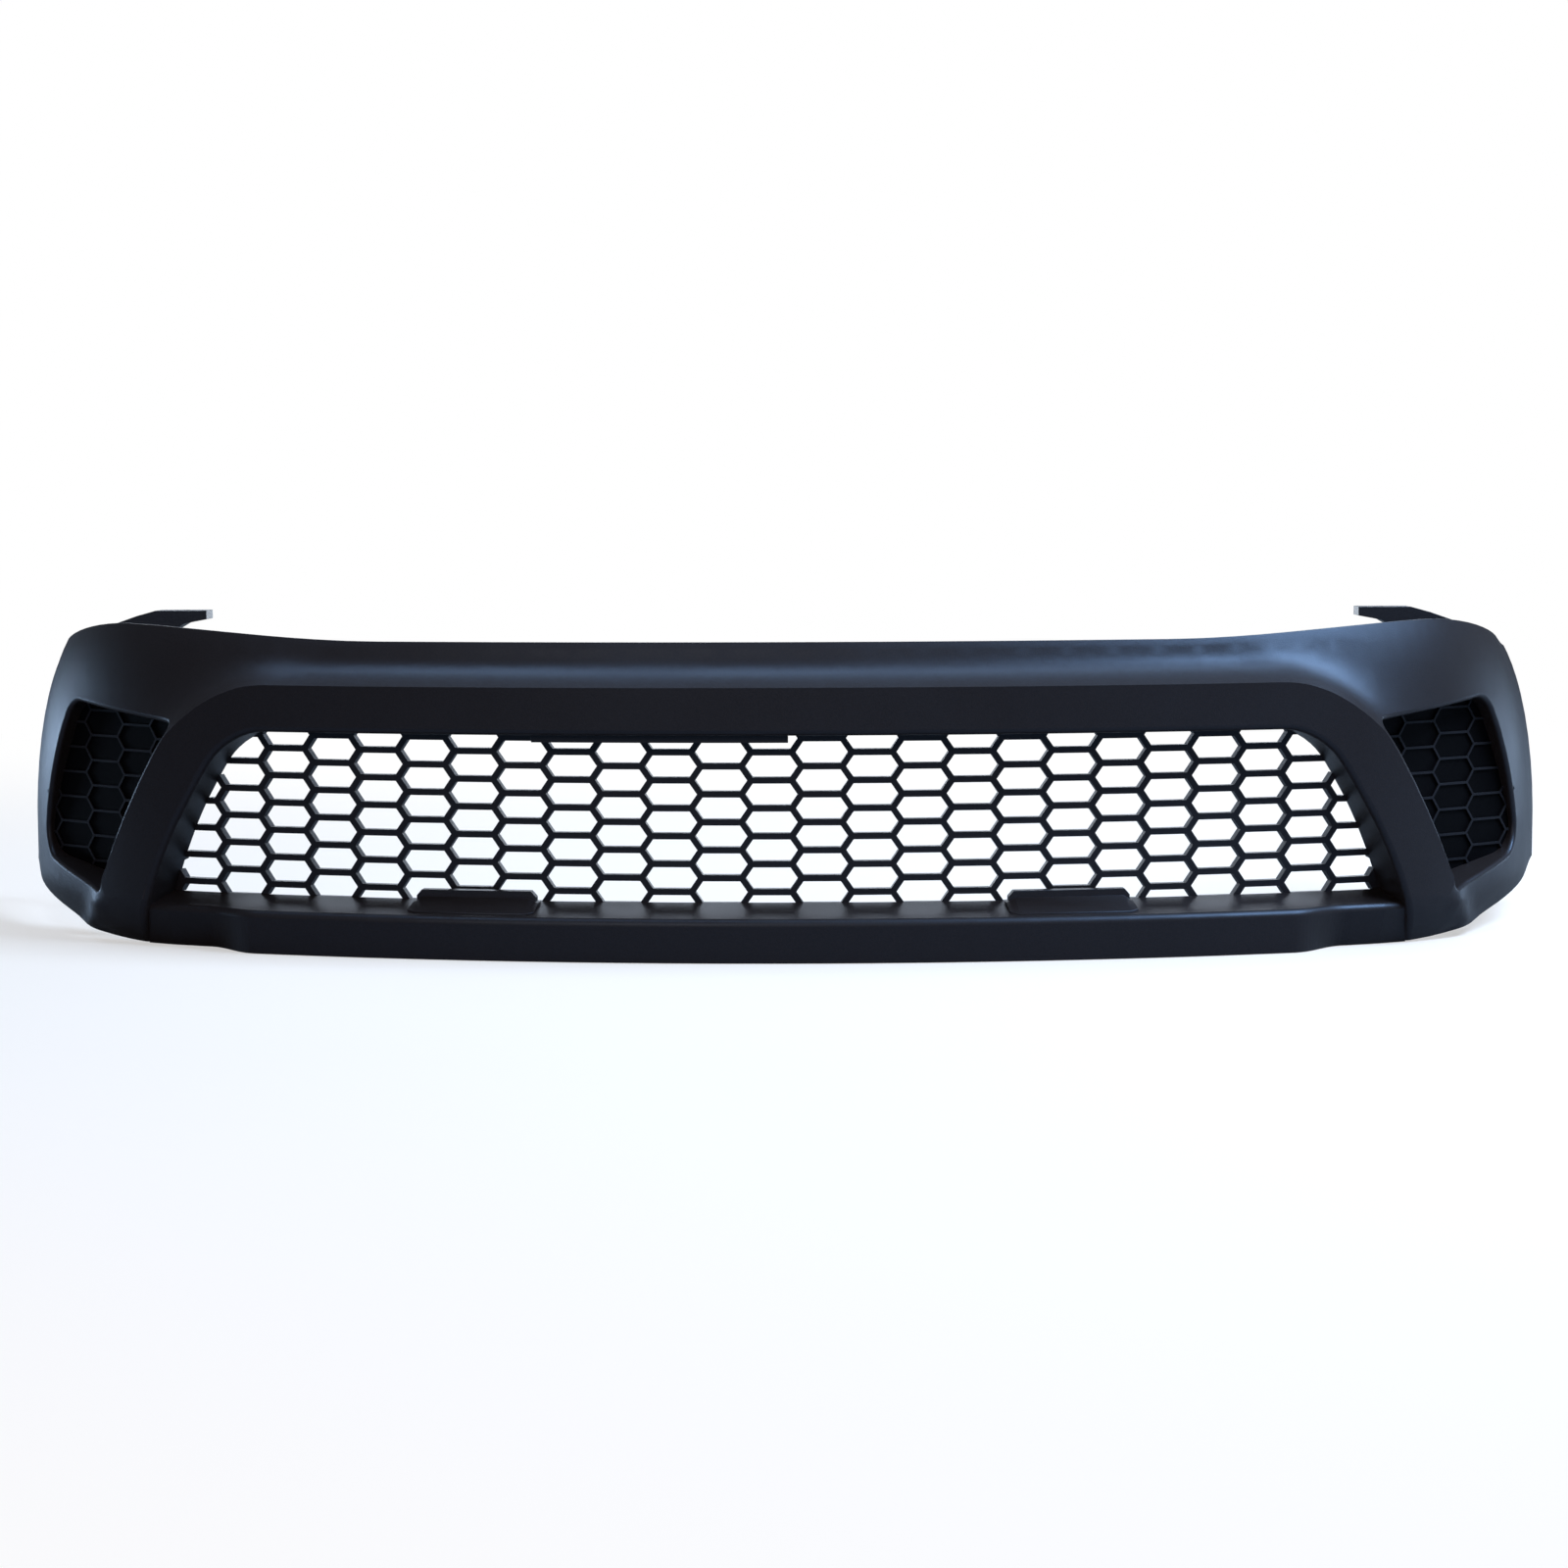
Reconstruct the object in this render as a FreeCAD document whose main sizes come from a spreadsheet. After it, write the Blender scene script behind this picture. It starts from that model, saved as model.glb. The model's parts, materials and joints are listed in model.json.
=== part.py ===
# Front bumper cover of a pickup: one moulded skin with a wide honeycomb opening, two side
# pods, a lower lip and two upper arms, with the pieces that are screwed, bolted and bonded to it.
#
# Frame: millimetres, +Z up, the front faces -Y, the lower edge rests on Z = 0.
# Most of the cover follows one plan curve, seen from above: a long shallow front arc, two
# tighter corner arcs and two short straight ends. A place on the cover is given by
#   run    length along the plan curve from the middle (right side positive),
#   proud  distance in front of the plan curve, along its normal,
#   height above the floor.
import FreeCAD, Part
import Sketcher
import math
import os

Vector = FreeCAD.Vector

SIZES = [
    # plan curve
    ("setback", 192.65), ("front_radius", 2000.0), ("front_angle", 17.5), ("corner_radius", 320.0),
    ("corner_angle", 74.0), ("end_straight", 122.0), ("rear_edge", 409.0),
    # moulded skin
    ("skin", 3.0), ("ring_proud", 47.0), ("end_proud", 29.6), ("tuck", 14.0),
    ("top_height", 324.0), ("shoulder_height", 339.6), ("rear_top_height", 297.4),
    ("rear_bottom_height", 54.8), ("lean_start", 96.0), ("lean_depth", 68.6), ("lean_ceiling", 28.5),
    ("crease_height", 280.0), ("crease_round", 68.0), ("visor_hollow", 13.0),
    ("end_hollow", 26.0), ("foot_height", 50.0), ("foot_tuck", 16.0), ("foot_lean", 0.08),
    # opening and its seat
    ("opening_top", 231.0), ("opening_round", 34.0), ("seat_width", 16.0), ("seat_gap", 0.2),
    ("opening_rim", 6.0), ("pod_rim", 4.0),
    # lip
    ("lip_proud", 60.0), ("lip_end_proud", 25.0), ("lip_end_lean", 14.0), ("lip_edge_height", 45.5),
    ("lip_back_height", 55.0), ("lip_back_proud", 0.8), ("lip_round", 8.0), ("step_start", 531.0),
    ("step_end", 600.0),
    # honeycomb
    ("column_pitch", 52.0), ("row_pitch", 29.0), ("cell_slope", 10.0), ("mesh_bar", 6.6),
    ("mesh_depth", 10.0), ("frame_depth", 4.0), ("middle_row", 196.2),
    # side pods
    ("pod_direction", 35.0), ("pod_distance", 264.6), ("pod_plate", 3.0), ("pod_rib_height", 2.5),
    ("pod_bar", 2.6), ("pod_row_pitch", 27.75), ("pod_cell_along", 712.4),
    ("pod_cell_height", 145.5), ("pod_margin", 14.0), ("fit_gap", 0.3),
    # pads and strip
    ("pad_length", 132.0), ("pad_run", 306.0), ("strip_start", -246.0), ("strip_end", 18.0),
    ("strip_height", 8.0), ("strip_thick", 2.5),
    # upper arms
    ("arm_plate", 3.0), ("arm_depth", 36.0), ("arm_top", 343.6), ("arm_hole_radius", 4.5),
    # fasteners
    ("screw_radius", 2.0), ("screw_length", 12.0), ("screw_head_radius", 4.2),
    ("screw_head_height", 2.6), ("bolt_radius", 3.0), ("bolt_length", 16.0),
    ("bolt_head_width", 10.0), ("bolt_head_height", 4.0), ("nut_height", 5.0),
    ("washer_radius", 6.5), ("washer_thick", 1.4), ("bolt_clearance", 0.25),
    # rails and brackets
    ("rail_width", 14.0), ("rail_height", 18.0), ("rail_wall", 2.0), ("rail_reach", 470.0),
    ("lip_rail_proud", 54.8), ("lip_rail_height", 8.0), ("visor_rail_proud", 43.7),
    ("visor_rail_height", 246.0),
    ("bracket_run", 430.0), ("bracket_width", 50.0), ("bracket_leg", 24.0),
    ("bracket_height", 6.0), ("bracket_bolt_height", 11.0), ("bracket_bolt_spacing", 26.0),
    ("bracket_foot", 60.0), ("bracket_thick", 3.0), ("bracket_hole_radius", 4.5),
    ("bracket_hole_spacing", 26.0), ("fender_hole_radius", 3.2), ("fender_hole_spacing", 60.0),
]

doc = FreeCAD.newDocument("bumper_cover")
sheet = doc.addObject("Spreadsheet::Sheet", "Sizes")
for number, (alias, value) in enumerate(SIZES, start=1):
    sheet.set(f"A{number}", alias)
    sheet.set(f"B{number}", str(value))
    sheet.setAlias(f"B{number}", alias)
doc.recompute()


def size(alias):
    return float(getattr(sheet, alias))


# ---------------------------------------------------------------- plan curve

FRONT_RADIUS = size("front_radius")
CORNER_RADIUS = size("corner_radius")
FRONT_ANGLE = math.radians(size("front_angle"))
CORNER_ANGLE = math.radians(size("corner_angle"))
FRONT_RUN = FRONT_RADIUS * FRONT_ANGLE
CORNER_RUN = FRONT_RUN + CORNER_RADIUS * (CORNER_ANGLE - FRONT_ANGLE)
END_RUN = CORNER_RUN + size("end_straight")


def heading(run):
    """Angle by which the plan curve has turned at run, in radians."""
    reach = abs(run)
    if reach < FRONT_RUN:
        angle = reach / FRONT_RADIUS
    elif reach < CORNER_RUN:
        angle = FRONT_ANGLE + (reach - FRONT_RUN) / CORNER_RADIUS
    else:
        angle = CORNER_ANGLE
    return math.copysign(angle, run)


def at(run, proud=0.0, height=0.0):
    """The point at run, proud of the plan curve, at height."""
    reach = abs(run)
    angle = abs(heading(run))
    straight = max(0.0, reach - CORNER_RUN)
    x = FRONT_RADIUS * math.sin(min(angle, FRONT_ANGLE))
    y = FRONT_RADIUS * (1 - math.cos(min(angle, FRONT_ANGLE)))
    if angle > FRONT_ANGLE:
        x += CORNER_RADIUS * (math.sin(angle) - math.sin(FRONT_ANGLE))
        y += CORNER_RADIUS * (math.cos(FRONT_ANGLE) - math.cos(angle))
    x += straight * math.cos(angle) + proud * math.sin(angle)
    y += straight * math.sin(angle) - proud * math.cos(angle)
    return Vector(math.copysign(x, run), y, height)


def outward(run):
    angle = heading(run)
    return Vector(math.sin(angle), -math.cos(angle), 0)


def along(run):
    angle = heading(run)
    return Vector(math.cos(angle), math.sin(angle), 0)


def ease(value, low, high):
    """Smooth step from 0 at low to 1 at high."""
    share = min(1.0, max(0.0, (value - low) / (high - low)))
    return share * share * (3 - 2 * share)


# ---------------------------------------------------------------- moulded surfaces

def top_height(run):
    """Height of the upper edge: level in front, up to a shoulder, then down to the rear."""
    reach = abs(run)
    rise = ease(reach, 420, 740) * (size("shoulder_height") - size("top_height"))
    fall = ease(reach, 728, 1067) * (size("shoulder_height") - size("rear_top_height"))
    return size("top_height") + rise - fall


def bottom_height(run):
    """Height of the lower edge: on the floor in front, rising behind the pods."""
    return ease(abs(run), 641, 1015) * size("rear_bottom_height")


def leg_edge(height):
    """Run of the ring leg's outer edge, which is also the pod's inner edge."""
    return 741 - 0.36 * height - 0.0005 * height ** 2


def opening_edge(height):
    """Run of the opening's side edge."""
    return 671 - 0.19 * height - 0.0012 * height ** 2


def outside_crease(run, height):
    """Distance outside the ring's crease, which turns from the visor down the leg."""
    over = height - size("crease_height") + size("crease_round")
    beside = 0.9 * (abs(run) - leg_edge(height)) + size("crease_round")
    if over > 0 and beside > 0:
        return math.hypot(over, beside) - size("crease_round")
    return max(over, beside) - size("crease_round")


def end_skin(run, height):
    """Depth of the end skin, which leans back towards the top and tucks in at the foot."""
    ceiling = top_height(run) + size("lean_ceiling")
    share = max(0.0, (height - size("lean_start")) / (ceiling - size("lean_start")))
    lean = size("lean_depth") * (1 - math.sqrt(max(0.0, 1 - share * share)))
    foot = size("tuck") * (1 - ease(height, -5, 56))
    return size("end_proud") - lean - foot


def top_skin(run, height):
    """Depth of the upright strip above the visor, with its rolled top."""
    return -0.02 * max(0.0, height - (top_height(run) - 12)) ** 2


def foot_skin(height):
    """Depth that the ring's feet stay behind as they tuck in towards the floor."""
    drop = size("foot_height") - height
    tuck = size("foot_tuck") * drop * abs(drop) / size("foot_height") ** 2
    return size("ring_proud") - tuck - size("foot_lean") * drop


def flared_skin(run, height):
    """Depth of the skin outside the ring, flaring forward to the crease and past it."""
    share = ease(abs(run), 450, 690)
    base = share * end_skin(run, height) + (1 - share) * top_skin(run, height)
    gap = size("ring_proud") - base
    distance = outside_crease(run, height)
    wider = ease(abs(run), 470, 650) * (size("end_hollow") - size("visor_hollow"))
    hollow = size("visor_hollow") + wider
    if distance > 0:
        depth = base + gap * math.exp(-distance / hollow)
    else:
        depth = size("ring_proud") + 40 * math.tanh(-distance * gap / hollow / 40)
    return min(depth, foot_skin(height))


def inner_skin(run, height):
    """Depth of the inside of the same skin, one wall thickness in."""
    step = 1.0
    slope_run = (flared_skin(run + step, height) - flared_skin(run - step, height)) / (2 * step)
    slope_height = (flared_skin(run, height + step) - flared_skin(run, height - step)) / (2 * step)
    slope = math.sqrt(1 + min(slope_run ** 2 + slope_height ** 2, 16))
    return flared_skin(run, height) - size("skin") * slope


def spread(low, high, count):
    return [low + (high - low) * number / (count - 1) for number in range(count)]


def region_behind(depth, over_run, over_height, depth_back):
    """Everything behind a smooth moulded surface, over_run and over_height past its edges."""
    half = [*spread(0, 440, 8)[1:], *spread(460, 760, 19), *spread(785, END_RUN + over_run, 16)]
    runs = [-run for run in reversed(half)] + [0] + half
    rows = []
    for run in runs:
        low = bottom_height(run) - over_height
        high = top_height(run) + over_height
        rows.append([at(run, depth(run, height), height) for height in spread(low, high, 41)])
    surface = Part.BSplineSurface()
    surface.interpolate(rows)
    return surface.toShape().extrude(Vector(0, depth_back, 0))


# ---------------------------------------------------------------- prisms on the plan curve

def plan_edges(proud):
    """The plan curve moved out by proud, from the left end to the right end."""
    stops = [-END_RUN, -CORNER_RUN, -FRONT_RUN, FRONT_RUN, CORNER_RUN, END_RUN]
    edges = []
    for start, stop in zip(stops, stops[1:]):
        first, last = at(start, proud), at(stop, proud)
        if abs(start) >= CORNER_RUN and abs(stop) >= CORNER_RUN and start * stop > 0:
            edges.append(Part.LineSegment(first, last).toShape())
        else:
            edges.append(Part.Arc(first, at((start + stop) / 2, proud), last).toShape())
    return edges


def band(proud_low, proud_high, low, high):
    """The strip between two moved plan curves, from height low to height high."""
    front = plan_edges(proud_high)
    back = plan_edges(proud_low)
    left = Part.LineSegment(at(-END_RUN, proud_low), at(-END_RUN, proud_high)).toShape()
    right = Part.LineSegment(at(END_RUN, proud_high), at(END_RUN, proud_low)).toShape()
    wire = Part.Wire(Part.__sortEdges__([left, *front, right, *back]))
    face = Part.Face(wire)
    face.translate(Vector(0, 0, low))
    return face.extrude(Vector(0, 0, high - low))


def behind_ring(proud):
    """Everything behind the plan curve moved out by proud."""
    corner = at(END_RUN, proud)
    far = 1400
    points = [corner, Vector(corner.x, far, 0), Vector(-corner.x, far, 0), at(-END_RUN, proud)]
    closing = [Part.LineSegment(a, b).toShape() for a, b in zip(points, points[1:])]
    face = Part.Face(Part.Wire(Part.__sortEdges__([*plan_edges(proud), *closing])))
    face.translate(Vector(0, 0, -40))
    return face.extrude(Vector(0, 0, 480))


def flat_spline(points):
    curve = Part.BSplineCurve()
    curve.interpolate(points)
    return curve.toShape()


def on_plane(run, height, plane):
    """Where the plan curve's normal at run meets the upright plane Y = plane."""
    spot = at(run)
    return Vector(spot.x + (spot.y - plane) * math.tan(heading(run)), plane, height)


def opening_plug(grow, foot=-30.0):
    """A plug that fills the opening, grown outwards; its walls stand square to the skin."""
    top = size("opening_top") + grow
    radius = size("opening_round") + grow
    places = []
    for turn in spread(90, 0, 7):
        angle = math.radians(turn)
        height = top - radius * (1 - math.sin(angle))
        places.append((opening_edge(height) + (grow - radius * (1 - math.cos(angle))) / 0.93, height))
    for height in spread(top - radius, foot, 7)[1:]:
        places.append((opening_edge(height) + grow / 0.93, height))
    wires = []
    for plane in (-150.0, 170.0):
        right = [on_plane(run, height, plane) for run, height in places]
        left = [Vector(-spot.x, spot.y, spot.z) for spot in right]
        edges = [
            Part.LineSegment(left[0], right[0]).toShape(), flat_spline(right),
            Part.LineSegment(right[-1], left[-1]).toShape(), flat_spline(left),
        ]
        wires.append(Part.Wire(Part.__sortEdges__(edges)))
    return Part.makeLoft(wires, True, True)


def pod_top(run, grow=0.0):
    return 238 + 0.115 * (run - 652) + grow


def pod_bottom(run, grow=0.0):
    return 57 + 0.216 * (run - 738) - grow


def pod_inner(height, grow=0.0):
    return leg_edge(height) + 2 - grow


def pod_outer(height, grow=0.0):
    return 874 - 0.0011 * height ** 2 + grow


def pod_axis(side):
    """Square to the pod's flat floor, pointing out of the pod."""
    direction = math.radians(size("pod_direction")) * side
    return Vector(math.sin(direction), -math.cos(direction), 0)


def pod_spot(run, height, side, distance):
    """A place on the pod's rim, carried along the pod's axis to distance from the origin."""
    spot = at(side * run, size("end_proud"), height)
    axis = pod_axis(side)
    return spot + axis * (distance - spot.dot(axis))


def pod_plug(grow, side, low=0.0, high=160.0):
    """A plug that fills a side pod, grown outwards, from low to high above the pod's floor."""
    inner_top = (pod_inner(241, grow), pod_top(pod_inner(241), grow))
    outer_top = (pod_outer(256, grow), pod_top(pod_outer(256), grow))
    outer_low = (pod_outer(84, grow), pod_bottom(pod_outer(84), grow))
    inner_low = (pod_inner(54, grow), pod_bottom(pod_inner(54), grow))
    heights_in = spread(inner_top[1], inner_low[1], 6)[1:-1]
    heights_out = spread(outer_low[1], outer_top[1], 6)[1:-1]
    sides = [
        [inner_top, *[(pod_inner(height, grow), height) for height in heights_in], inner_low],
        [inner_low, outer_low],
        [outer_low, *[(pod_outer(height, grow), height) for height in heights_out], outer_top],
        [outer_top, inner_top],
    ]
    start = size("pod_distance") + low
    edges = []
    for places in sides:
        spots = [pod_spot(run, height, side, start) for run, height in places]
        edges.append(flat_spline(spots) if len(spots) > 2 else Part.LineSegment(*spots).toShape())
    axis = pod_axis(side)
    plug = Part.Face(Part.Wire(Part.__sortEdges__(edges))).extrude(axis * (high - low))
    return rounded_plug(plug, axis, grow)


def rounded_plug(plug, axis, grow):
    """Rounds a plug's four long edges: small beside the ring leg, large at the outer side."""
    def long_edges(solid):
        spots = []
        for edge in solid.Edges:
            line = edge.Vertexes[-1].Point - edge.Vertexes[0].Point
            if line.Length > 1 and abs(line.normalize().dot(axis)) > 0.999:
                spots.append(edge)
        return sorted(spots, key=lambda edge: abs(edge.CenterOfMass.x))

    plug = plug.makeFillet(max(2.0, 32 + grow), long_edges(plug)[-2:])
    return plug.makeFillet(max(2.0, 7 + grow), long_edges(plug)[:2])


# ---------------------------------------------------------------- pieces

def piece(label, shape):
    """A document object for one piece whose shape comes from Part's own functions."""
    feature = doc.addObject("Part::Feature", label)
    feature.Label = label
    feature.Shape = shape
    feature.Placement = FreeCAD.Placement()
    return feature


def moulded_skin():
    """The visible side of the cover as a block, and its inside as another block."""
    outside = region_behind(flared_skin, 45, 0, 600).common(behind_ring(size("ring_proud")))
    inside = region_behind(inner_skin, 53, 20, 760)
    inside = inside.common(behind_ring(size("ring_proud") - size("skin")))
    return outside, inside


def rim_edges(block, plug, faces):
    """The block's edges where the plug was cut through its outside, above the floor."""
    def touches(spot, shape):
        return Part.Vertex(spot).distToShape(shape)[0] < 0.01

    rim = []
    for edge in block.Edges:
        span = edge.LastParameter - edge.FirstParameter
        spots = [edge.valueAt(edge.FirstParameter + span * share) for share in (0.25, 0.5, 0.75)]
        if all(spot.z > 1 and touches(spot, plug) and touches(spot, faces) for spot in spots):
            rim.append(edge)
    return rim


def rounded_block(outside):
    """The block with the opening and the two pods cut into it, their front rims rounded."""
    faces = Part.makeCompound(outside.Faces)
    block = outside
    cuts = [(opening_plug(0), "opening_rim")]
    cuts += [(pod_plug(0, side, 0.1), "pod_rim") for side in (-1, 1)]
    for plug, rounding in cuts:
        block = block.cut(plug)
        rim = rim_edges(block, Part.makeShell(plug.Faces), faces)
        block = block.makeFillet(size(rounding), rim)
    return block


def lip_section(run, inset):
    """The lip's outline across the run: proud in the middle, stepping back beside each leg.

    The outline is drawn inset from the lip's outer faces. Beside the legs its face leans forward.
    """
    share = ease(abs(run), size("step_start"), size("step_end"))
    toe = size("lip_proud") + share * (size("lip_end_proud") - size("lip_proud")) - inset
    depth = toe + share * size("lip_end_lean")
    ledge = size("lip_edge_height") - inset
    back = size("lip_back_height") - inset
    radius = size("lip_round")
    foot = -6.0 if inset == 0 else -10.0
    rear = size("lip_back_proud") if inset == 0 else -12.0
    corner = math.sqrt(0.5) * radius
    spots = [
        (rear, foot), (toe - 1.5, foot), (depth, ledge - radius),
        (depth - radius + corner, ledge - radius + corner), (depth - radius, ledge), (rear, back),
    ]
    spots = [at(run, proud, height) for proud, height in spots]
    edges = [
        Part.LineSegment(spots[0], spots[1]), Part.LineSegment(spots[1], spots[2]),
        Part.Arc(spots[2], spots[3], spots[4]), Part.LineSegment(spots[4], spots[5]),
        Part.LineSegment(spots[5], spots[0]),
    ]
    return Part.Wire([edge.toShape() for edge in edges])


def lip():
    """The lower lip: a front face and a ledge that slopes up to the mesh."""
    half = [*spread(0, 510, 11)[1:], *spread(525, 606, 19), 640, 680, 720]
    runs = [-run for run in reversed(half)] + [0] + half
    outer = Part.makeLoft([lip_section(run, 0) for run in runs], True, True)
    inner = Part.makeLoft([lip_section(run, size("skin")) for run in runs], True, True)
    above = Part.makeBox(2400, 900, 200, Vector(-1200, -300, 0))
    return outer.cut(inner).common(above)


def cover_shell():
    solid, inside = moulded_skin()
    skin, gap = size("skin"), size("seat_gap")
    deep = -500
    sockets = [opening_plug(skin), pod_plug(skin, -1, deep), pod_plug(skin, 1, deep)]
    shell = rounded_block(solid).cut(inside.cut(sockets))
    spent = [pod_plug(skin + 1, side, deep, size("fit_gap")) for side in (-1, 1)]
    shell = shell.cut([opening_plug(skin + 1).common(behind_ring(gap)), *spent])
    hole = opening_plug(0)
    seat = opening_plug(size("seat_width"), foot=34)
    rim = seat.cut(hole).common(band(gap, gap + skin, 34, 260)).common(solid)
    apron_height = size("lip_back_height") - 1.5
    apron = band(gap, gap + skin, 34, apron_height).common(opening_plug(1.0))
    shell = shell.fuse([rim, apron, lip().common(opening_plug(1.0))])
    shell = shell.fuse([pod_flange(side, solid) for side in (-1, 1)])
    shell = shell.fuse([rear_flange(side, solid) for side in (-1, 1)])
    behind = Part.makeBox(2400, 1200, 600, Vector(-1200, size("rear_edge"), -100))
    shell = shell.cut(behind)
    for side in (-1, 1):
        shell = shell.cut([rear_hole(side, height, radius) for height, radius in rear_holes()])
        shell = shell.cut(screw_holes(pod_screws(side)))
    shell = shell.cut(screw_holes(mesh_screws()))
    return piece("cover_shell", biggest(shell))


def pod_flange(side, solid):
    """The flange behind the pod's side walls that the insert is screwed to."""
    gap = size("fit_gap")
    flange = pod_plug(size("pod_margin"), side, gap, gap + size("skin"))
    return flange.cut(pod_plug(0, side, 0, 10)).common(solid)


def rear_flange(side, solid):
    """A flat return along the rear edge, for the fender screws and the arm's bolts."""
    low = Vector(805 if side > 0 else -905, size("rear_edge") - size("skin"), 62)
    return Part.makeBox(100, size("skin"), 228, low).common(solid)


def rear_holes():
    """Height and radius of each hole in the rear flange: two for the fender, two for the arm."""
    bolt = size("bolt_radius") + size("bolt_clearance")
    fender = size("fender_hole_radius")
    return [(80, fender), (80 + size("fender_hole_spacing"), fender), (205, bolt), (245, bolt)]


def rear_hole(side, height, radius):
    start = Vector(side * 824, size("rear_edge") - 20, height)
    return Part.makeCylinder(radius, 60, start, Vector(0, 1, 0))


def biggest(shape):
    """The one connected solid, without loose slivers, as a clean solid."""
    solids = sorted(shape.Solids, key=lambda solid: solid.Volume)
    return solids[-1]


# ---------------------------------------------------------------- honeycomb pieces

def cell_outline(centre, sideways, row_pitch, wall):
    """A flattened hexagonal cell, level edges top and bottom, one half wall inside its centreline."""
    half_row = row_pitch / 2
    lean = size("cell_slope") / half_row
    level = half_row - wall / 2
    tip = (size("column_pitch") + size("cell_slope")) / 2 - wall / 2 * math.hypot(1, lean)
    flat = tip - lean * level
    corners = [(-tip, 0), (-flat, level), (flat, level), (tip, 0), (flat, -level), (-flat, -level)]
    spots = [centre + sideways * across + Vector(0, 0, up) for across, up in corners]
    return Part.makePolygon([*spots, spots[0]])


def centre_mesh():
    """The open honeycomb panel behind the opening, with a solid frame to screw it by."""
    reach, rows = 12, 5
    cells = []
    for column in range(-reach, reach + 1):
        run = column * size("column_pitch")
        for row in range(-rows, rows):
            height = size("middle_row") + (row - (column % 2) / 2) * size("row_pitch")
            if not 40 < height < 250:
                continue
            centre = at(run, 4.0, height)
            outline = cell_outline(centre, along(run), size("row_pitch"), size("mesh_bar"))
            cells.append(Part.Face(outline).extrude(outward(run) * -(size("mesh_depth") + 8)))
    window = opening_plug(1.0, foot=size("lip_back_height") - 1.0)
    lattice = band(-size("mesh_depth"), 0, 30, 260).common(window).cut(Part.makeCompound(cells))
    frame = opening_plug(size("seat_width") - 1, foot=35).cut(window)
    frame = frame.common(band(-size("frame_depth"), 0, 30, 260))
    panel = lattice.fuse(frame)
    return piece("centre_mesh", biggest(panel.cut(screw_holes(mesh_screws()))))


def pod_insert(side):
    """The blind panel in a pod: a flat plate with a raised honeycomb on its face."""
    label = "right_pod_insert" if side > 0 else "left_pod_insert"
    axis = pod_axis(side)
    across = Vector(math.cos(math.radians(size("pod_direction"))) * side,
                    math.sin(math.radians(size("pod_direction"))), 0)
    plate = pod_plug(size("pod_margin"), side, -size("pod_plate"), 0)
    ribs = pod_plug(-size("fit_gap"), side, -0.5, size("pod_rib_height"))
    pockets = []
    for column in range(-3, 4):
        for row in range(-5, 5):
            middle = axis * size("pod_distance")
            middle = middle + across * (size("pod_cell_along") + column * size("column_pitch"))
            rise = (row + (column % 2) / 2) * size("pod_row_pitch")
            middle.z = size("pod_cell_height") + rise
            outline = cell_outline(middle, across, size("pod_row_pitch"), size("pod_bar"))
            pockets.append(Part.Face(outline).extrude(axis * 20))
    ribs = ribs.cut(Part.makeCompound(pockets))
    panel = plate.fuse(ribs)
    return piece(label, biggest(panel.cut(screw_holes(pod_screws(side)))))


# ---------------------------------------------------------------- where the fasteners sit
# Each place is a point on the back of the piece held and the direction the fastener points.

def mesh_screws():
    spots = [(run, 240.0) for run in spread(-450, 450, 5)]
    spots += [(run, 44.0) for run in spread(-480, 480, 5)]
    for height in (95.0, 150.0):
        spots += [(side * (opening_edge(height) + 9), height) for side in (-1, 1)]
    back = -size("frame_depth")
    return [(at(run, back, height), outward(run)) for run, height in spots]


def pod_screws(side):
    rim = [(705.0, pod_top(705.0, 7)), (770.0, pod_bottom(770.0, 7)),
           (pod_outer(150.0, 7), 150.0), (pod_inner(120.0, 7), 120.0)]
    back = size("pod_distance") - size("pod_plate")
    return [(pod_spot(run, height, side, back), pod_axis(side)) for run, height in rim]


def arm_bolts(side):
    back = size("rear_edge") + size("fit_gap") + size("arm_plate")
    return [(Vector(side * 824, back, height), Vector(0, -1, 0)) for height in (205, 245)]


def bracket_seat(side):
    """The middle of the lower bracket's front face, at the bracket's foot."""
    proud = size("lip_rail_proud") - size("rail_width") - size("fit_gap")
    return at(side * size("bracket_run"), proud, size("bracket_height"))


def bracket_bolts(side):
    run = side * size("bracket_run")
    rise = Vector(0, 0, size("bracket_bolt_height"))
    back = bracket_seat(side) - outward(run) * size("bracket_thick") + rise
    half = size("bracket_bolt_spacing") / 2
    return [(back + along(run) * offset, outward(run)) for offset in (-half, half)]


def hole_at(place, reach, radius):
    """A clear hole for a fastener, from behind its head to reach past its place."""
    spot, direction = place
    return Part.makeCylinder(radius, reach + 14, spot - direction * 14, direction)


def screw_holes(places):
    radius = size("screw_radius") + size("bolt_clearance")
    return [hole_at(place, 14.0, radius) for place in places]


def bolt_holes(places):
    radius = size("bolt_radius") + size("bolt_clearance")
    return [hole_at(place, 26.0, radius) for place in places]


# ---------------------------------------------------------------- arms, pads, strip

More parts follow.
